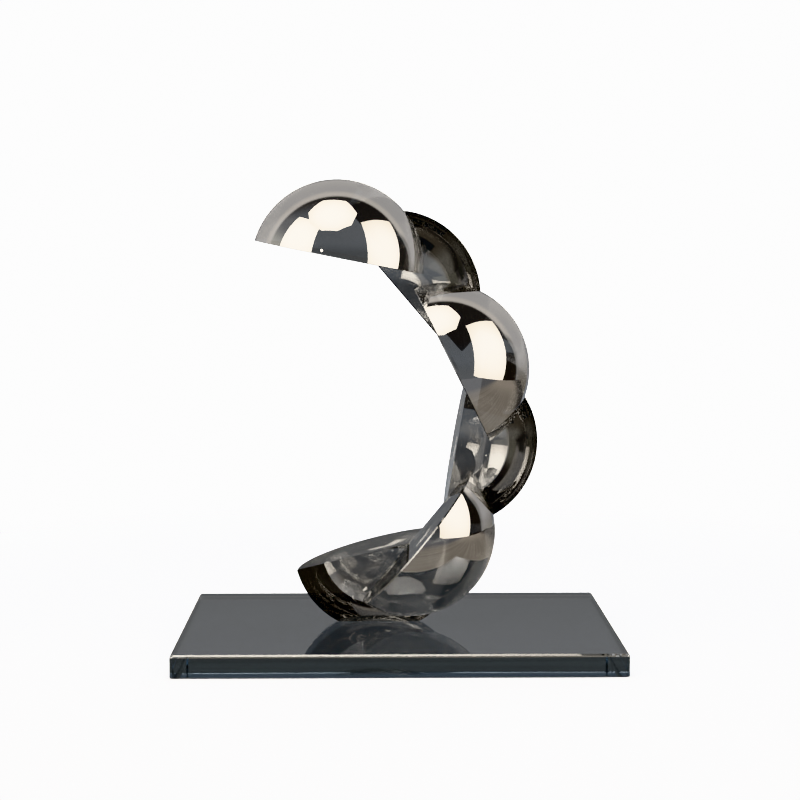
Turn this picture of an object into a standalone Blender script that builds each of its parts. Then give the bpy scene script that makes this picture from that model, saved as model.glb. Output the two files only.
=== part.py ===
"""Crystal ornament: six quarter balls of smoky crystal glued in a C-shaped curve on a crystal plate.

The object faces -Y: a viewer in front looks along +Y, and +X is to the right.
The middle plane Y = 0 holds the flat sides of all the quarter balls. Odd ones, counted from the top,
stand in front of it and even ones behind it, and neighbours are glued flat side to flat side.
Z = 0 is the underside of the plinth. Sizes are in millimetres up to the factor MM.
"""
import math

import bmesh
import bpy
from mathutils import Matrix, Vector

MM = 0.001

# Plinth
PLINTH_WIDTH = 300.0 * MM
PLINTH_DEPTH = 200.0 * MM
PLINTH_HEIGHT = 15.0 * MM
PLINTH_CHAMFER = 1.5 * MM

# Quarter balls
BALL_RADIUS = 60.0 * MM
BALL_SEGMENTS = 64
BALL_RINGS = 32
EDGE_BEVEL = 1.0 * MM
GLUE_GAP = 0.3 * MM
SHARP_ANGLE = math.radians(30)

# One row for each quarter ball, from the top down: the ball's centre (X, and Z above the plinth),
# the tilt of its dome about Y (0 is dome up, 90 is dome towards +X), the side of the middle plane
# (-1 in front, 1 behind), and how far beyond the centre the inner flat is ground.
QUARTER_BALLS = (
    (-42.0, 250.2, 11.1, -1, 6.2),
    (-2.3, 229.0, 49.4, 1, 4.9),
    (31.7, 178.8, 63.5, -1, 6.2),
    (37.9, 127.9, 100.0, 1, 3.7),
    (8.3, 64.9, 129.5, -1, 5.6),
    (-13.5, 52.7, 166.5, 1, 1.9),
)


def clear_scene():
    """Remove the objects of the start scene."""
    for item in list(bpy.data.objects):
        bpy.data.objects.remove(item, do_unlink=True)


def make_material(name, colour, roughness, metallic):
    """Return a Principled material of one colour."""
    material = bpy.data.materials.new(name)
    material.use_nodes = True
    shader = material.node_tree.nodes["Principled BSDF"]
    shader.inputs["Base Color"].default_value = (*colour, 1.0)
    shader.inputs["Roughness"].default_value = roughness
    shader.inputs["Metallic"].default_value = metallic
    material.diffuse_color = (*colour, 1.0)
    return material


def make_object(name, bm, material):
    """Turn a bmesh into a smooth-shaded object with sharp edges kept sharp."""
    bmesh.ops.recalc_face_normals(bm, faces=bm.faces)
    mesh = bpy.data.meshes.new(name)
    bm.to_mesh(mesh)
    bm.free()
    mesh.shade_smooth()
    mesh.set_sharp_from_angle(angle=SHARP_ANGLE)
    mesh.materials.append(material)
    item = bpy.data.objects.new(name, mesh)
    bpy.context.collection.objects.link(item)
    return item


def add_bevel(item, width):
    """Chamfer the sharp edges of an object."""
    bevel = item.modifiers.new("edge bevel", "BEVEL")
    bevel.width = width
    bevel.segments = 1
    bevel.limit_method = "ANGLE"
    bevel.angle_limit = SHARP_ANGLE
    bevel.harden_normals = False


def grind_flat(bm, point, normal):
    """Cut away what lies beyond a plane, on the side of its normal, and close the cut with one face."""
    everything = list(bm.verts) + list(bm.edges) + list(bm.faces)
    cut = bmesh.ops.bisect_plane(
        bm, geom=everything, plane_co=point, plane_no=normal, clear_outer=True)
    rim = [part for part in cut["geom_cut"] if isinstance(part, bmesh.types.BMEdge)]
    bmesh.ops.contextual_create(bm, geom=rim)


def build_plinth():
    """Build the plate, with its underside at Z = 0."""
    bm = bmesh.new()
    bmesh.ops.create_cube(bm, size=1.0)
    bmesh.ops.scale(bm, vec=(PLINTH_WIDTH, PLINTH_DEPTH, PLINTH_HEIGHT), verts=bm.verts)
    smoky_crystal = make_material("smoky crystal plate", (0.035, 0.040, 0.047), 0.06, 0.0)
    plinth = make_object("plinth", bm, smoky_crystal)
    plinth.location = (0.0, 0.0, PLINTH_HEIGHT / 2)
    add_bevel(plinth, PLINTH_CHAMFER)


def build_quarter_ball(number, place, material):
    """Build one quarter ball with its ball's centre at the object's origin, and put it in its place."""
    centre_x, centre_z, tilt, side, grind = place
    height = PLINTH_HEIGHT + centre_z * MM
    turn = Matrix.Rotation(math.radians(tilt), 3, "Y")
    bm = bmesh.new()
    bmesh.ops.create_uvsphere(bm, u_segments=BALL_SEGMENTS, v_segments=BALL_RINGS, radius=BALL_RADIUS)
    bmesh.ops.rotate(bm, matrix=Matrix.Rotation(math.radians(90), 3, "X"), verts=bm.verts)
    grind_flat(bm, Vector((0.0, side * GLUE_GAP / 2, 0.0)), Vector((0.0, -side, 0.0)))
    grind_flat(bm, Vector((0.0, 0.0, grind * MM)), Vector((0.0, 0.0, -1.0)))
    foot = PLINTH_HEIGHT + GLUE_GAP - height
    if foot > -BALL_RADIUS:
        grind_flat(bm, turn.inverted() @ Vector((0.0, 0.0, foot)), turn.inverted() @ Vector((0.0, 0.0, -1.0)))
    ball = make_object(f"quarter_ball_{number}", bm, material)
    ball.location = (centre_x * MM, 0.0, height)
    ball.rotation_euler = (0.0, math.radians(tilt), 0.0)
    add_bevel(ball, EDGE_BEVEL)


def main():
    """Build the whole ornament."""
    clear_scene()
    build_plinth()
    for number, place in enumerate(QUARTER_BALLS, start=1):
        mirrored = make_material(f"mirrored crystal {number}", (0.42, 0.40, 0.38), 0.04, 1.0)
        build_quarter_ball(number, place, mirrored)


main()
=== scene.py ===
# %% [markdown]
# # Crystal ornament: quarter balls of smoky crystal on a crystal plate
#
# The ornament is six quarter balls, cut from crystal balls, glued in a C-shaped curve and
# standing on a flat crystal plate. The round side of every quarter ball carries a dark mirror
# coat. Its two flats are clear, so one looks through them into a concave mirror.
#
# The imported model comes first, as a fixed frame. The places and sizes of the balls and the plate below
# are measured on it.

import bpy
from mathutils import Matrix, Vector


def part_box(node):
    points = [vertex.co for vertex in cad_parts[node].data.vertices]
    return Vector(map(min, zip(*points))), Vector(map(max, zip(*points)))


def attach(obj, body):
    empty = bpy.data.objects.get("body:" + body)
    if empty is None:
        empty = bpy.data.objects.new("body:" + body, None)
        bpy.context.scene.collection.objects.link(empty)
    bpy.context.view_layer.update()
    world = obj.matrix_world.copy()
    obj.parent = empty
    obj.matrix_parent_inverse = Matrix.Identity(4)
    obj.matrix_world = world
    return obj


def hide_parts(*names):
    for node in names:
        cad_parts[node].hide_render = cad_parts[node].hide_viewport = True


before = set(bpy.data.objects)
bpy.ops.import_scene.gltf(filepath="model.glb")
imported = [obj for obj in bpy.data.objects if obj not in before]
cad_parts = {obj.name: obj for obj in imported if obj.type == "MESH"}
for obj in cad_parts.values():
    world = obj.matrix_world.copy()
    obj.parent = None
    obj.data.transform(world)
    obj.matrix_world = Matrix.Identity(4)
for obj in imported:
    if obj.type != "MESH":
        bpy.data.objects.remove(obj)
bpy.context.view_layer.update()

# %% Imports and units
import math

import bmesh
import bpy
import numpy as np
from mathutils import Vector

MM = 0.001

# %% [markdown]
# ## Measuring a quarter ball
#
# Each quarter ball of the frame is a faceted solid. Its ball's centre and radius, the way its
# dome points and the depth of its inner flat are all in its triangles. The flats are the sets of
# equal normals that hold the largest triangles: one set faces along Y and the other across it.
# What faces neither way, nor steeply down, is the dome, and its corners lie on a sphere. For a
# point p on a sphere with centre c, the square of |p| is 2 p.c plus a constant, which least squares
# solves.


# %% Measure a node
# Limits on dot products of unit normals.
ONE_FLAT = 0.9999
ALONG_Y, ACROSS_Y = 0.999, 0.001
OFF_A_FLAT = 0.2
FOOT_SLOPE = -0.85


def node_triangles(node):
    """Corners (n, 3, 3), unit normals (n, 3) and areas (n) of a node's triangles."""
    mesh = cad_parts[node].data
    mesh.calc_loop_triangles()
    points = np.empty(len(mesh.vertices) * 3)
    mesh.vertices.foreach_get("co", points)
    picks = np.empty(len(mesh.loop_triangles) * 3, np.int32)
    mesh.loop_triangles.foreach_get("vertices", picks)
    corners = points.reshape(-1, 3)[picks.reshape(-1, 3)]
    cross = np.cross(corners[:, 1] - corners[:, 0], corners[:, 2] - corners[:, 0])
    double_area = np.linalg.norm(cross, axis=1)
    real = double_area > 0
    return corners[real], cross[real] / double_area[real, None], double_area[real] / 2


def largest_flat(normals, areas, allowed):
    """Unit normal and mask of the flat that holds the largest triangle, among those in a mask."""
    best = normals[allowed][areas[allowed].argmax()]
    same = allowed & (normals @ best > ONE_FLAT)
    total = (normals[same] * areas[same, None]).sum(0)
    return total / np.linalg.norm(total), same


def fit_sphere(points):
    """Centre and radius of the sphere nearest the points: |p|^2 = 2 p.c + (r^2 - |c|^2)."""
    system = np.column_stack([2 * points, np.ones(len(points))])
    answer = np.linalg.lstsq(system, (points**2).sum(1), rcond=None)[0]
    centre = answer[:3]
    return centre, math.sqrt(answer[3] + centre @ centre)


def measure_quarter_ball(node):
    """The ball's centre and radius, the dome's direction, the cut and the side of the middle plane.

    The cut is how far the inner flat lies from the centre, along the dome's direction. The side is
    -1 in front of the middle plane and 1 behind it."""
    corners, normals, areas = node_triangles(node)
    lean = np.abs(normals[:, 1])
    glued_normal, _ = largest_flat(normals, areas, lean > ALONG_Y)
    inner_normal, inner = largest_flat(normals, areas, lean < ACROSS_Y)
    dome = (normals @ inner_normal < OFF_A_FLAT) & (normals @ glued_normal < OFF_A_FLAT)
    dome &= normals[:, 2] > FOOT_SLOPE
    centre, radius = fit_sphere(corners[dome].reshape(-1, 3))
    outward = -inner_normal
    cut = float((corners[inner].mean((0, 1)) - centre) @ outward)
    side = -math.copysign(1.0, glued_normal[1])
    return {"centre": centre, "radius": radius, "outward": outward, "cut": cut, "side": side}


ball_nodes = sorted(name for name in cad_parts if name.startswith("quarter_ball"))
balls = {name: measure_quarter_ball(name) for name in ball_nodes}
for name, ball in balls.items():
    tilt = math.degrees(math.atan2(ball["outward"][0], ball["outward"][2]))
    print(name, "radius", round(ball["radius"] / MM, 2), "tilt", round(tilt, 1),
          "cut", round(ball["cut"] / MM, 2), "centre", np.round(ball["centre"] / MM, 1))

# %% [markdown]
# ## The surfaces of a quarter ball
#
# A quarter ball has three faces: a piece of the sphere and two flats at right angles. Where the
# dome meets a flat, the edge is taken off by a fine polished chamfer. On the fifth ball, whose rim
# stands free in front of the sixth, it is wide enough to be seen. The straight edge between the
# flats lies in the glue and stays sharp. So the dome and the flats end a little short of the sharp
# edges between them, and narrow strips join them. A Bevel modifier on a cut ball could do the same,
# but its width wanders where three edges meet, and polished crystal shows that.
#
# All the faces are bounded by curves that run from one tip of the quarter ball to the other. With
# the same number of points on all the curves, the strips are rows of quads between equal point
# numbers, and the dome is a grid of great arcs from its first curve to its second.
#
# The glued flats reach a hair past the middle plane. So the crystal of one ball starts just
# before that of the next ends, and light crosses the glue without meeting air.

# %% Curves of a quarter ball
CHAMFER = 0.5 * MM
CURVE_STEPS = 160
DOME_ROWS = 72
GLUED = -0.02 * MM
LEAST_ANGLE = 1e-6


def arc_between(radius, rise, turn):
    """Half circle cut off at a height: radius * (cos, sin), from asin(rise / radius) to pi minus that."""
    start = math.asin(rise / radius)
    angles = start + (math.pi - 2 * start) * turn
    return radius * np.cos(angles), radius * np.sin(angles)


def flat_curves(radius, cut, chamfer):
    """Border arcs of the two flats, in the ball's own axes.

    x runs from tip to tip, y away from the middle plane and z outwards to the dome. The glued flat
    is y = GLUED and the inner flat is z = cut. Each arc lies one chamfer inside the sphere, and both
    end in the same two corners, so the flats share the straight edge between these."""
    turn = np.linspace(0.0, 1.0, CURVE_STEPS + 1)
    one = np.ones_like(turn)
    glued_x, glued_z = arc_between(math.sqrt(radius**2 - GLUED**2) - chamfer, cut, turn)
    inner_x, inner_y = arc_between(math.hypot(glued_x[0], GLUED), GLUED, turn)
    return np.column_stack([glued_x, GLUED * one, glued_z]), np.column_stack([inner_x, inner_y, cut * one])


def dome_rows(radius, cut, chamfer):
    """The dome's points, row by row, from its border by the glued flat to its border by the inner flat.

    Both borders are circles, where a plane one chamfer inside a flat meets the sphere. Partners on
    the two borders are joined by great arcs: (sin((1 - t) a) first + sin(t a) second) / sin(a), where
    a is the angle between them. At the two tips a is 0 and all the points are one."""
    turn = np.linspace(0.0, 1.0, CURVE_STEPS + 1)
    low_y, low_z = GLUED + chamfer, cut + chamfer
    one = np.ones_like(turn)
    glued_x, glued_z = arc_between(math.sqrt(radius**2 - low_y**2), low_z, turn)
    inner_x, inner_y = arc_between(math.sqrt(radius**2 - low_z**2), low_y, turn)
    first = np.column_stack([glued_x, low_y * one, glued_z])
    second = np.column_stack([inner_x, inner_y, low_z * one])
    angle = np.arccos(np.clip((first * second).sum(1) / radius**2, -1.0, 1.0))[:, None]
    angle = np.maximum(angle, LEAST_ANGLE)
    part = np.linspace(0.0, 1.0, DOME_ROWS + 1)[:, None, None]
    grid = (np.sin((1 - part) * angle) * first + np.sin(part * angle) * second) / np.sin(angle)
    grid[:, [0, -1]] = first[[0, -1]]
    return grid


print("curves ready:", CURVE_STEPS, "steps along,", DOME_ROWS, "rows over the dome")

# %% [markdown]
# ## From curves to one closed mesh
#
# Glass only looks like glass when its mesh is closed, because a shader tells the inside from the
# outside by the faces that light crosses. So the dome, the two flats and the chamfers are one
# mesh, and each kind of face gets its own finish: the dome carries a metal film, the flats and the
# chamfers are polished.
#
# Points that coincide at the tips and corners are merged at the end, which turns the last quads of
# each row into triangles and leaves no hole there.

# %% Quarter ball as points and faces
DOME, FLAT, EDGE = 0, 1, 2


def strip(first, second):
    """Quads between two rows of point numbers."""
    return np.column_stack([first[:-1], first[1:], second[1:], second[:-1]]).tolist()


def sheet_of_quads(rows):
    """All the quads of a grid of point numbers."""
    return [quad for low, high in zip(rows[:-1], rows[1:]) for quad in strip(low, high)]


def quarter_ball_surface(radius, cut, chamfer):
    """Points, faces and the kind of each face, in the ball's own axes."""
    grid = dome_rows(radius, cut, chamfer)
    points = np.concatenate([grid.reshape(-1, 3), *flat_curves(radius, cut, chamfer)])
    rows = np.arange(grid.size // 3).reshape(grid.shape[:2])
    glued_arc, inner_arc = rows.size + np.arange(2 * (CURVE_STEPS + 1)).reshape(2, -1)
    dome = sheet_of_quads(rows)
    flats = [glued_arc.tolist(), inner_arc.tolist()]
    edge = strip(glued_arc, rows[0]) + strip(inner_arc, rows[-1])
    kinds = [DOME] * len(dome) + [FLAT] * len(flats) + [EDGE] * len(edge)
    return points, dome + flats + edge, kinds


def place_in_frame(points, ball):
    """Own axes to frame: centre + x along the chord + y to the ball's side + z outwards."""
    outward = ball["outward"]
    along = np.array([outward[2], 0.0, -outward[0]])
    across = np.array([0.0, ball["side"], 0.0])
    middle = np.array([ball["centre"][0], 0.0, ball["centre"][2]])
    return middle + points @ np.vstack([along, across, outward])


top_ball = balls[ball_nodes[0]]
trial_points, trial_faces, _ = quarter_ball_surface(top_ball["radius"], top_ball["cut"], CHAMFER)
print("one quarter ball:", len(trial_points), "points and", len(trial_faces), "faces")

# %% [markdown]
# ## Arithmetic for shaders
#
# A finish is a small network of nodes. Written out node by node it hides what is meant, so one
# class wraps the output of a node: an expression such as 1 - mask adds its Math node by itself,
# and one method adds every other kind of node.


# %% Wires between nodes
# Sockets of the colour form of a Mix node: the two colours come in here and their mix leaves there.
MIX_FIRST, MIX_SECOND, MIXED = 6, 7, 2


class Wire:
    """One output of a node in a tree, for use in expressions."""

    def __init__(self, tree, output=None):
        self.tree, self.output = tree, output

    def node(self, kind, settings=None, inputs=None, output=0):
        """Add a node: its settings first, then the value or wire of each input. Gives one output."""
        made = self.tree.nodes.new(kind)
        for name, value in (settings or {}).items():
            setattr(made, name, value)
        for name, value in (inputs or {}).items():
            if isinstance(value, Wire):
                self.tree.links.new(value.output, made.inputs[name])
            else:
                made.inputs[name].default_value = value
        return Wire(self.tree, made.outputs[output] if len(made.outputs) else None)

    def math(self, operation, *values):
        """One Math node, on wires or numbers."""
        return self.node("ShaderNodeMath", {"operation": operation}, dict(enumerate(values)))

    def __add__(self, other):
        return self.math("ADD", self, other)

    def __sub__(self, other):
        return self.math("SUBTRACT", self, other)

    def __rsub__(self, other):
        return self.math("SUBTRACT", other, self)

    def __mul__(self, other):
        return self.math("MULTIPLY", self, other)

    def __truediv__(self, other):
        return self.math("DIVIDE", self, other)

    __radd__, __rmul__ = __add__, __mul__

    def parts(self):
        """The X, Y and Z of a vector."""
        made = self.node("ShaderNodeSeparateXYZ", inputs={0: self}).output.node
        return [Wire(self.tree, output) for output in made.outputs]

    def step(self, low, high):
        """0 below low, 1 above high, and an even S-shaped rise between them."""
        return self.node("ShaderNodeMapRange", {"interpolation_type": "SMOOTHSTEP"},
                         {"Value": self, "From Min": low, "From Max": high})

    def blend(self, first, second):
        """The first colour where this wire is 0, the second where it is 1."""
        sides = [side if isinstance(side, Wire) else (*side, 1.0) for side in (first, second)]
        values = {0: self, MIX_FIRST: sides[0], MIX_SECOND: sides[1]}
        return self.node("ShaderNodeMix", {"data_type": "RGBA"}, values, output=MIXED)


def new_finish(name):
    """An empty material and a first wire into its tree."""
    finish = bpy.data.materials.new(name)
    finish.use_nodes = True
    finish.node_tree.nodes.clear()
    return finish, Wire(finish.node_tree)


def clouds(start, scale, detail=2.0):
    """Soft patches between 0 and 1, fixed to the piece by its Object coordinates."""
    place = start.node("ShaderNodeTexCoord", output="Object")
    noise = start.node("ShaderNodeTexNoise", inputs={"Vector": place, "Scale": scale, "Detail": detail})
    return noise.step(0.3, 0.7)


print("shader arithmetic ready")

# %% [markdown]
# ## The dark mirror film
#
# The round side of each ball is coated with a thin metal film. It mirrors over half of the light
# on both of its sides and lets most of the rest through. So a dome is a convex mirror from outside
# and a concave one through the crystal, and what is behind it shows faintly, but only within two
# thirds of the radius: further out, light inside the crystal meets the dome at too flat an angle
# to leave it.
#
# A Principled shader alone is either metal or glass. So a Mix Shader takes a share of each: a
# metal for what is mirrored, and a Refraction shader for what is passed, because it bends light
# as crystal does and mirrors none. Faint wipe marks vary the gloss.

# %% The mirror film
CRYSTAL_IOR = 1.5
FILM_OPEN = 0.42
LEAST_ROUGH, WIPED_ROUGH = 0.008, 0.03


def mirror_film():
    """Metal for the closed share of the film and refraction for the open one."""
    finish, start = new_finish("dark_mirror_film")
    place = start.node("ShaderNodeTexCoord", output="Object")
    cloud = start.node("ShaderNodeTexNoise", inputs={"Vector": place, "Scale": 28.0, "Detail": 3.0})
    wipes = start.node("ShaderNodeMapping", inputs={"Vector": place, "Rotation": (0.4, 0.9, 0.2),
                                                    "Scale": (90.0, 90.0, 900.0)})
    streaks = start.node("ShaderNodeTexNoise", inputs={"Vector": wipes, "Scale": 1.0, "Detail": 2.0})
    smudge = streaks.step(0.55, 0.8) * cloud.step(0.45, 0.7)
    mirror = start.node("ShaderNodeBsdfPrincipled", inputs={
        "Base Color": cloud.step(0.3, 0.7).blend((0.93, 0.92, 0.91), (0.97, 0.96, 0.95)), "Metallic": 1.0,
        "Roughness": smudge * WIPED_ROUGH + LEAST_ROUGH})
    passed = start.node("ShaderNodeBsdfRefraction", inputs={
        "Color": (0.95, 0.95, 0.95, 1.0), "Roughness": 0.0, "IOR": CRYSTAL_IOR})
    both = start.node("ShaderNodeMixShader", inputs={0: FILM_OPEN, 1: mirror, 2: passed})
    start.node("ShaderNodeOutputMaterial", inputs={"Surface": both})
    return finish


# %% [markdown]
# ## Smoky crystal and its edges
#
# The flats are polished and clear, and the crystal behind them is smoky. A ray crosses a flat on
# its way in and another on its way out. Each crossing tints it by the square root of the base
# colour, so that colour is the smoke of the whole way. A volume would darken long ways more than
# short ones, but six of them that touch are slow and grainy, and these balls are too small to show
# the difference.
#
# The chamfers mirror a little more than the flats, and a paler tint than theirs is a painted highlight, so
# they show as fine pale lines.

# %% Crystal finishes
def clear_crystal():
    """Polished crystal, with faint clouds in its smoke."""
    finish, start = new_finish("clear_crystal")
    shader = start.node("ShaderNodeBsdfPrincipled", inputs={
        "Base Color": clouds(start, 18.0).blend((0.31, 0.31, 0.305), (0.35, 0.35, 0.345)),
        "Roughness": 0.0, "IOR": CRYSTAL_IOR, "Transmission Weight": 1.0})
    start.node("ShaderNodeOutputMaterial", inputs={"Surface": shader})
    return finish


def crystal_edge_with_painted_highlight():
    """A paler tint than the flats, a painted highlight, and a touch less smooth. A little metal makes it
    mirror more.
    """
    finish, start = new_finish("crystal_edge_painted_highlight")
    shader = start.node("ShaderNodeBsdfPrincipled", inputs={
        "Base Color": clouds(start, 60.0).blend((0.74, 0.74, 0.73), (0.84, 0.84, 0.83)),
        "Metallic": 0.15, "Roughness": 0.06, "IOR": CRYSTAL_IOR, "Transmission Weight": 1.0})
    start.node("ShaderNodeOutputMaterial", inputs={"Surface": shader})
    return finish


ball_finishes = [mirror_film(), clear_crystal(), crystal_edge_with_painted_highlight()]
print("finishes of a ball:", [finish.name for finish in ball_finishes])

# %% [markdown]
# ## Six quarter balls
#
# Each one is put together in its own axes, moved to its place in the frame, and takes over from
# the plain solid there. The radius and the cut measured on that solid come out a hair small, so
# both are rounded to a tenth of a millimetre.
#
# The lowest one also has a foot ground flat, where it is glued to the plate. That cut is a plane
# through the finished mesh, closed by one new face. It could be drawn into the curves instead,
# but a circle across the grid of the dome is easier to cut than to draw.

# %% Make the quarter balls
plinth_low, plinth_high = np.array(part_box("plinth"))
PLATE_TOP = float(plinth_high[2])
WIDE_CHAMFER, WIDE_EDGED = 0.95 * MM, "quarter_ball_5"
SAME_POINT = 1e-6
ON_THE_CUT = 1e-7
BALL_SHARP = math.radians(20)
# Digits of a length in metres that are kept: tenths of a millimetre.
DIGITS = 4


def mesh_object(name, points, faces):
    """A new object at the origin, with its place in its mesh."""
    mesh = bpy.data.meshes.new(name)
    mesh.from_pydata(points.tolist(), [], faces)
    made = bpy.data.objects.new(name, mesh)
    bpy.context.scene.collection.objects.link(made)
    return made


def grind_foot(work, height):
    """Cut away everything below a height and close the cut with one face."""
    geometry = work.verts[:] + work.edges[:] + work.faces[:]
    cut = bmesh.ops.bisect_plane(work, geom=geometry, dist=ON_THE_CUT, plane_co=(0, 0, height),
                                 plane_no=(0, 0, -1), clear_outer=True)
    rim = [item for item in cut["geom_cut"] if isinstance(item, bmesh.types.BMEdge)]
    bmesh.ops.holes_fill(work, edges=rim, sides=0)


def close_mesh(made, foot_height):
    """Merge the tips, grind the foot if there is one, and turn all the faces outwards.

    Gives the number of edges that don't join exactly two faces, which has to be 0."""
    work = bmesh.new()
    work.from_mesh(made.data)
    bmesh.ops.remove_doubles(work, verts=work.verts[:], dist=SAME_POINT)
    if foot_height is not None:
        grind_foot(work, foot_height)
    bmesh.ops.recalc_face_normals(work, faces=work.faces[:])
    work.to_mesh(made.data)
    open_edges = sum(1 for edge in work.edges if not edge.is_manifold)
    work.free()
    made.data.shade_smooth()
    made.data.set_sharp_from_angle(angle=BALL_SHARP)
    return open_edges


def make_quarter_ball(node, ball, chamfer):
    """Make one crystal in the place of a node, with its finishes, and print what it came to."""
    radius, cut = round(ball["radius"], DIGITS), round(ball["cut"], DIGITS)
    points, faces, kinds = quarter_ball_surface(radius, cut, chamfer)
    made = mesh_object(node + "_crystal", place_in_frame(points, ball), faces)
    made.data.polygons.foreach_set("material_index", np.array(kinds, np.int32))
    for finish in ball_finishes:
        made.data.materials.append(finish)
    has_foot = ball["centre"][2] - ball["radius"] < PLATE_TOP
    open_edges = close_mesh(made, PLATE_TOP + GLUED if has_foot else None)
    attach(made, "root")
    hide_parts(node)
    print(made.name, len(made.data.polygons), "faces,", open_edges, "open edges")


for node, ball in balls.items():
    make_quarter_ball(node, ball, WIDE_CHAMFER if node == WIDE_EDGED else CHAMFER)

# %% [markdown]
# ## The plate
#
# The plinth is one thick plate of grey-blue crystal. Its lower edge is only just blunted. Its upper
# edge has a chamfer, and below that a narrow, steeper facet that eases it into the side. The
# chamfer mirrors the lamp overhead towards the front, which draws a bright line along the plate,
# and the facet under it stays dark. A paler tint on the edges than on the faces paints part of
# that line as a painted highlight. The plate is a stack of rounded rectangles, one at each end of
# every facet. Bands of quads join them, and two large faces close them.

# %% Shape of the plate
CORNER_RADIUS = 2.5 * MM
CORNER_STEPS = 10
BLUNTED = 0.15 * MM
TOP_CHAMFER, TOP_DROP = 1.5 * MM, 0.94 * MM
EASED_CHAMFER, EASED_DROP = 0.35 * MM, 1.75 * MM
PLATE_SHARP = math.radians(15)
PLATE_FACE, PLATE_EDGE = 0, 1
BAND_KINDS = [PLATE_EDGE, PLATE_FACE, PLATE_EDGE, PLATE_EDGE]


def rounded_rectangle(width, depth, radius):
    """Corner arcs joined in order: each point is a corner's centre + radius * (cos, sin) of its angle."""
    quarter = np.linspace(0.0, math.pi / 2, CORNER_STEPS + 1)
    angles = (np.arange(4)[:, None] * math.pi / 2 + quarter).ravel()
    signs = np.repeat(np.array([[1, 1], [-1, 1], [-1, -1], [1, -1]]), CORNER_STEPS + 1, axis=0)
    centres = signs * np.array([width / 2 - radius, depth / 2 - radius])
    return centres + radius * np.column_stack([np.cos(angles), np.sin(angles)])


def make_plate():
    """Stack the rounded rectangles: each level is a height and how far its outline is drawn in."""
    width, depth = (plinth_high - plinth_low)[:2]
    levels = [(plinth_low[2], BLUNTED), (plinth_low[2] + BLUNTED, 0.0),
              (plinth_high[2] - EASED_DROP, 0.0), (plinth_high[2] - TOP_DROP, EASED_CHAMFER),
              (plinth_high[2], TOP_CHAMFER)]
    middle = (plinth_low + plinth_high)[:2] / 2
    loops = []
    for height, inset in levels:
        loop = middle + rounded_rectangle(width - 2 * inset, depth - 2 * inset, CORNER_RADIUS - inset)
        loops.append(np.column_stack([loop, np.full(len(loop), height)]))
    count = len(loops[0])
    rows = np.arange(len(loops) * count).reshape(len(loops), count)
    closed = np.column_stack([rows, rows[:, 0]])
    ends = [rows[0, ::-1].tolist(), rows[-1].tolist()]
    kinds = np.append(np.repeat(BAND_KINDS, count), [PLATE_FACE] * len(ends))
    made = mesh_object("plinth_plate", np.concatenate(loops), sheet_of_quads(closed) + ends)
    made.data.polygons.foreach_set("material_index", kinds.astype(np.int32))
    return made


plate = make_plate()
plate.data.shade_smooth()
plate.data.set_sharp_from_angle(angle=PLATE_SHARP)
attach(plate, "root")
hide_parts("plinth")
print("plate", np.round((plinth_high - plinth_low) / MM, 1), "mm,", len(plate.data.polygons), "faces")

# %% [markdown]
# ## Crystal of the plate
#
# The plate is one block, so its smoke is a volume: Absorption darkens light by the way that it
# goes through the plate. Seen from the front, that way is as long as the plate is deep, and the
# front face is much darker than the top. The chamfers mirror more than the faces do, and their
# paler tint is a painted highlight.


# %% Finish of the plate
def plate_crystal():
    """Polished faces round a smoky volume."""
    finish, start = new_finish("smoky_plate_crystal")
    shader = start.node("ShaderNodeBsdfPrincipled", inputs={
        "Base Color": clouds(start, 9.0).blend((0.62, 0.66, 0.70), (0.66, 0.70, 0.74)),
        "Roughness": 0.0, "IOR": CRYSTAL_IOR, "Transmission Weight": 1.0})
    smoke = start.node("ShaderNodeVolumeAbsorption", inputs={
        "Color": (0.33, 0.42, 0.50, 1.0), "Density": 10.0})
    start.node("ShaderNodeOutputMaterial", inputs={"Surface": shader, "Volume": smoke})
    return finish


def plate_edge():
    """A pale tint, a painted highlight, with a very fine grain. A little metal makes it mirror more."""
    finish, start = new_finish("plate_edge_painted_highlight")
    shader = start.node("ShaderNodeBsdfPrincipled", inputs={
        "Base Color": clouds(start, 1500.0, 1.0).blend((0.80, 0.80, 0.79), (0.90, 0.90, 0.89)),
        "Metallic": 0.12, "Roughness": 0.03, "IOR": CRYSTAL_IOR, "Transmission Weight": 1.0})
    start.node("ShaderNodeOutputMaterial", inputs={"Surface": shader})
    return finish


for finish in (plate_crystal(), plate_edge()):
    plate.data.materials.append(finish)
print("finishes of the plate:", [finish.name for finish in plate.data.materials])

# %% [markdown]
# ## The studio
#
# A mirror has no look of its own: it shows its surroundings. So the lights are shaped as real
# ones are: an eight-sided softbox overhead, two oblong ones at the sides and one small lamp. An
# area light could be a disk or an oblong only, so each softbox is a glowing panel. Its glow falls
# towards the edges, as it does where one bulb lights a cloth.


# %% Glowing panels
LAMP_COLOUR = np.array([1.0, 0.94, 0.85])
LEFT_AT_EDGE = np.array([0.47, 0.45, 0.42])


def lamp_finish(name, centre, size, strength):
    """A glow that falls to a little under half of its strength, from 0.1 to 0.65 of the size away."""
    finish, start = new_finish(name)
    place = start.node("ShaderNodeTexCoord", output="Object")
    away = start.node("ShaderNodeVectorMath", {"operation": "DISTANCE"}, {0: place, 1: centre}, "Value")
    shade = (away / size).step(0.1, 0.65).blend(LAMP_COLOUR, LAMP_COLOUR * LEFT_AT_EDGE)
    glow = start.node("ShaderNodeEmission", inputs={"Color": shade, "Strength": strength})
    start.node("ShaderNodeOutputMaterial", inputs={"Surface": glow})
    return finish


def unit(vector):
    """The vector divided by its length."""
    vector = np.array(vector, float)
    return vector / np.linalg.norm(vector)


def axes_of(facing, roll):
    """The level and the rising direction of a panel that faces a direction, turned by a roll in degrees."""
    facing = unit(facing)
    level = unit(np.cross(facing, [0.0, 0.0, 1.0]))
    rising = np.cross(level, facing)
    cos, sin = math.cos(math.radians(roll)), math.sin(math.radians(roll))
    return np.vstack([cos * level + sin * rising, cos * rising - sin * level])


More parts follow.
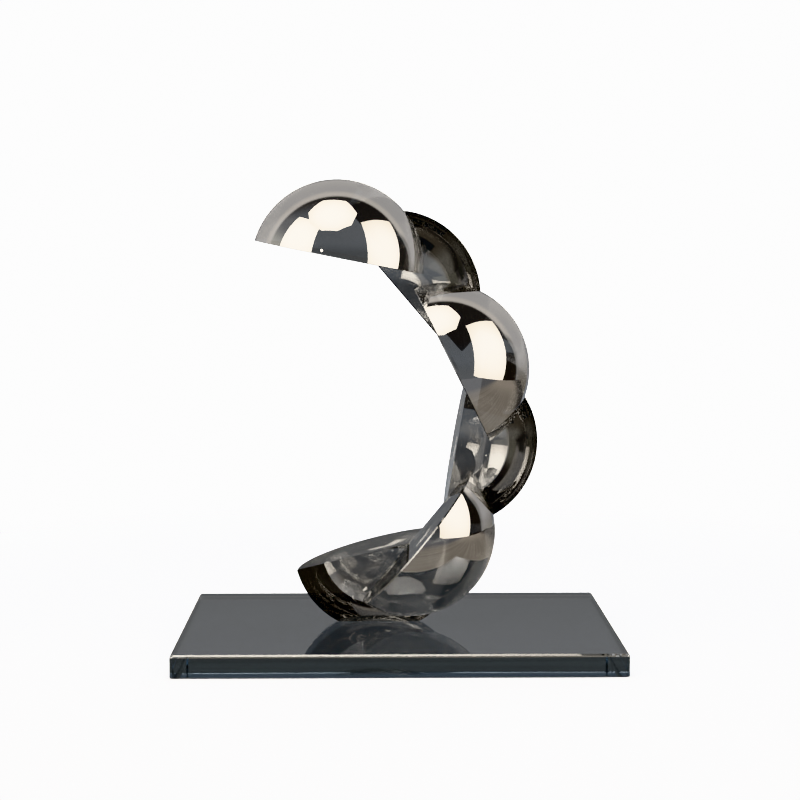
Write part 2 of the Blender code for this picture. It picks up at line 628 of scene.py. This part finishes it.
def panel(name, centre, axes, outline, finish):
    """A flat panel: centre + outline x along its first axis + outline y along its second."""
    made = mesh_object(name, np.array(centre) + np.array(outline) @ axes, [list(range(len(outline)))])
    made.data.materials.append(finish)
    made.visible_camera = False
    made.visible_shadow = False
    return made


def oblong(width, height):
    """Corners at half the width and half the height either way."""
    return np.array([[-1, -1], [1, -1], [1, 1], [-1, 1]]) * np.array([width, height]) / 2


def polygon(sides, radius):
    """Corners at radius * (cos, sin) of equal steps round the circle."""
    angles = np.arange(sides) * 2 * math.pi / sides
    return radius * np.column_stack([np.cos(angles), np.sin(angles)])


# %% Softboxes
# Name, centre, the way it faces, outline, roll in degrees, size of the glow and strength.
LAMPS = (
    ("octagon_softbox", (-0.20, -0.48, 1.61), (-0.03, 0.19, -0.98), polygon(8, 0.70), 6.0, 1.4, 5.5),
    ("right_softbox", (1.26, -0.51, 0.77), (-0.88, 0.38, -0.29), oblong(1.30, 1.95), -15.5, 1.8, 4.6),
    ("left_softbox", (-1.07, -0.61, 1.05), (0.83, 0.55, -0.11), oblong(1.15, 1.70), -1.0, 1.8, 5.5),
    ("small_lamp", (-0.70, -1.80, 0.98), (0.33, 0.87, -0.38), polygon(24, 0.05), 0.0, 0.2, 12.0),
)
for name, centre, facing, outline, roll, size, strength in LAMPS:
    panel(name, centre, axes_of(facing, roll), outline, lamp_finish(name, centre, size, strength))
print("lamps:", [lamp[0] for lamp in LAMPS])

# %% [markdown]
# ## The room between the lights
#
# Between the lights the balls mirror the room. A picture of a real room would do, but a world
# shader can also be drawn: it is a colour for each direction, given by how far that direction
# points to the right, away from the front and up. Each blend is a soft border between two zones.
# The balls shrink the room so much that only its large light and dark zones count.
#
# What is seen past the ornament, with no mirror or crystal between, is plain white.


# %% Room
SEEN_WHITE = (3.6, 3.6, 3.6)


def room_colour(start):
    """Walls in front and at the sides, a pale screen behind with a dark foot, and a band between them."""
    right, away, up = start.node("ShaderNodeTexCoord", output="Generated").parts()
    wall = up.step(0.35, 0.65).blend((0.056, 0.059, 0.062), (0.046, 0.044, 0.043))
    wall = up.step(-0.10, 0.20).blend((0.115, 0.120, 0.125), wall)
    wall = right.step(0.86, 0.93).blend(wall, (0.030, 0.027, 0.025))
    left_wall = up.step(0.30, 0.62).blend((0.55, 0.53, 0.46), (0.11, 0.098, 0.090))
    wall = right.step(-0.72, -0.60).blend(left_wall, wall)
    band = up.step(-0.10, 0.10).blend((0.22, 0.21, 0.20), (0.80, 0.75, 0.69))
    band = right.step(0.82, 0.88).blend(band, (0.34, 0.33, 0.32))
    border = away - right.step(0.86, 0.94) * 0.09
    front = border.step(0.22, 0.31).blend(wall, band)
    screen = up.step(-0.20, 0.14).blend((0.25, 0.23, 0.20), (0.60, 0.585, 0.575))
    screen = right.step(-0.85, -0.50).blend((0.13, 0.13, 0.12), screen)
    middle = up.step(-0.15, -0.08).blend((0.43, 0.46, 0.50), (0.27, 0.28, 0.295))
    screen = away.step(0.80, 0.90).blend(screen, middle)
    screen = up.step(-0.45, -0.30).blend((0.16, 0.145, 0.135), screen)
    ahead = up.step(0.17, 0.27).blend((0.26, 0.26, 0.26), (0.39, 0.39, 0.39))
    upper = away.step(0.90, 0.96).blend((0.60, 0.585, 0.575), ahead)
    screen = up.step(0.04, 0.12).blend(screen, upper)
    return away.step(0.36, 0.50).blend(front, screen)


world = bpy.data.worlds.new("studio_room")
bpy.context.scene.world = world
world.use_nodes = True
world.node_tree.nodes.clear()
start = Wire(world.node_tree)
seen = start.node("ShaderNodeLightPath", output="Is Camera Ray")
sky = seen.blend(room_colour(start), SEEN_WHITE)
glow = start.node("ShaderNodeBackground", inputs={"Color": sky, "Strength": 1.0})
start.node("ShaderNodeOutputWorld", inputs={"Surface": glow})
print("room drawn with", len(world.node_tree.nodes), "nodes")

# %% [markdown]
# ## The table and the floor
#
# The lower half of every ball mirrors what it stands on: a warm table, lighter to the left and
# right, grey in front and dark behind, with a quiet grey under the plate. A lit wooden top would
# need many more rays through six layers of crystal to come out clean. So the table is a panel with
# a faint glow, which only mirrors and crystal see, and its colour comes from where it is. The glow
# is painted light: its lighter and darker zones are painted light and shade on the wood, and the
# grey under the plate is a painted shadow of the plate.
#
# The floor lies just above it and is the only one of the two that is seen directly: pale, matt, and
# fading into the white around it, so that no border shows.


# %% Table and floor
FLAT_AXES = np.eye(3)[:2]
TABLE_PLACE, FLOOR_PLACE = (0.0, -0.25, -1.0 * MM), (0.0, 0.0, -0.5 * MM)
TABLE_SIZE, FLOOR_RADIUS = (2.2, 1.7), 0.8
FADE_START, FADE_END = 0.35, 0.75


def table_painted_light(start):
    """Painted light and shade on the wood in zones, and a painted shadow in grey under the plate: max(|x| -
    half width, |y| - half depth) is below 0 there.
    """
    place = start.node("ShaderNodeTexCoord", output="Object")
    grain = start.node("ShaderNodeMapping", inputs={"Vector": place, "Scale": (1.5, 60.0, 1.0)})
    streaks = start.node("ShaderNodeTexNoise", inputs={"Vector": grain, "Scale": 1.0, "Detail": 2.0})
    x, y, _ = place.parts()
    # The grain is the wood's own; its lighter and darker zones are painted light and shade.
    wood_grain_and_light = streaks.step(0.3, 0.7).blend((0.30, 0.27, 0.23), (0.36, 0.325, 0.28))
    wood_grain_and_light = x.step(0.35, 0.80).blend(wood_grain_and_light, (0.44, 0.39, 0.33))
    wood_grain_and_light = x.step(-0.35, -0.15).blend((0.62, 0.59, 0.53), wood_grain_and_light)
    wood_grain_and_light = y.step(0.15, 0.40).blend(wood_grain_and_light, (0.10, 0.095, 0.09))
    wood_grain_and_light = y.step(-0.45, -0.25).blend((0.20, 0.20, 0.205), wood_grain_and_light)
    # Grey under the plate: a painted shadow of the plate.
    half_width, half_depth = (plinth_high - plinth_low)[:2] / 2
    beyond_side = start.math("ABSOLUTE", x) - float(half_width)
    beyond_end = start.math("ABSOLUTE", y) - float(half_depth)
    gap = start.math("MAXIMUM", beyond_side, beyond_end)
    return gap.step(0.0, 0.01).blend((0.125, 0.125, 0.125), wood_grain_and_light)


def table_finish():
    """A glow, painted light in place of a lit table, that isn't counted as a lamp: only the rays that
    happen to meet it see it.
    """
    finish, start = new_finish("table_glow")
    glow = start.node("ShaderNodeEmission", inputs={"Color": table_painted_light(start), "Strength": 1.0})
    start.node("ShaderNodeOutputMaterial", inputs={"Surface": glow})
    finish.cycles.emission_sampling = "NONE"
    return finish


def floor_finish():
    """Pale matt paper that turns clear as it gets further from the ornament."""
    finish, start = new_finish("pale_floor")
    matt = start.node("ShaderNodeBsdfPrincipled", inputs={
        "Base Color": clouds(start, 300.0).blend((0.80, 0.82, 0.86), (0.82, 0.84, 0.88)), "Roughness": 0.9})
    place = start.node("ShaderNodeTexCoord", output="Object")
    distance = start.node("ShaderNodeVectorMath", {"operation": "LENGTH"}, {0: place}, output="Value")
    clear = start.node("ShaderNodeBsdfTransparent")
    faded = distance.step(FADE_START, FADE_END)
    mixed = start.node("ShaderNodeMixShader", inputs={0: faded, 1: matt, 2: clear})
    start.node("ShaderNodeOutputMaterial", inputs={"Surface": mixed})
    return finish


table = panel("table_top", TABLE_PLACE, FLAT_AXES, oblong(*TABLE_SIZE), table_finish())
floor = panel("floor", FLOOR_PLACE, FLAT_AXES, polygon(64, FLOOR_RADIUS), floor_finish())
floor.visible_camera = True
floor.visible_glossy = floor.visible_transmission = False
print("staged:", table.name, "and", floor.name)

# %% [markdown]
# ## Light for the floor
#
# The softboxes are seen in the mirrors, but they light the floor unevenly. One wide, soft lamp
# from above evens it out. Mirrors and crystal don't see it, so it draws no shape of its own.

# %% Fill light
FILL_WIDTH, FILL_POWER = 2.4, 150.0
fill_data = bpy.data.lights.new("overhead_fill", "AREA")
fill_data.shape, fill_data.size, fill_data.energy = "DISK", FILL_WIDTH, FILL_POWER
fill = bpy.data.objects.new("overhead_fill", fill_data)
fill.location = (0.0, 0.2, 2.2)
fill.visible_camera = fill.visible_glossy = fill.visible_transmission = False
bpy.context.scene.collection.objects.link(fill)
print("fill light of", FILL_POWER, "W,", FILL_WIDTH, "m wide")

# %% [markdown]
# ## Camera and colours
#
# The camera stands 1.2 m in front, about level with the top ball, with a long lens: the front of
# the plate looks less than a fifth wider than its back. The neutral view transform leaves the
# tones in the middle as they are and only rounds off the brightest.
#
# A ray through the ornament can meet more than ten faces, so the limit on bounces is raised.
# Caustics are left out: they are bright specks that would need very many rays.

# %% Camera
CAMERA_PLACE, CAMERA_AIM = Vector((-0.0167, -1.1932, 0.2817)), Vector((0.0014, 0.0, 0.1720))
LENS = 77.18
camera_data = bpy.data.cameras.new("camera")
camera_data.lens = LENS
camera_data.sensor_width = 36.0
camera_data.clip_start, camera_data.clip_end = 0.05, 20.0
camera = bpy.data.objects.new("camera", camera_data)
bpy.context.scene.collection.objects.link(camera)
camera.location = CAMERA_PLACE
aim = CAMERA_AIM - CAMERA_PLACE
camera.rotation_euler = aim.to_track_quat("-Z", "Y").to_euler()
bpy.context.scene.camera = camera
scene = bpy.context.scene
scene.view_settings.view_transform = "Khronos PBR Neutral"
scene.view_settings.look = "None"
scene.cycles.max_bounces = 14
scene.cycles.glossy_bounces = 8
scene.cycles.transmission_bounces = 12
scene.cycles.caustics_reflective = False
scene.cycles.caustics_refractive = False
print("camera", round(aim.length, 2), "m from its aim, lens", LENS, "mm")
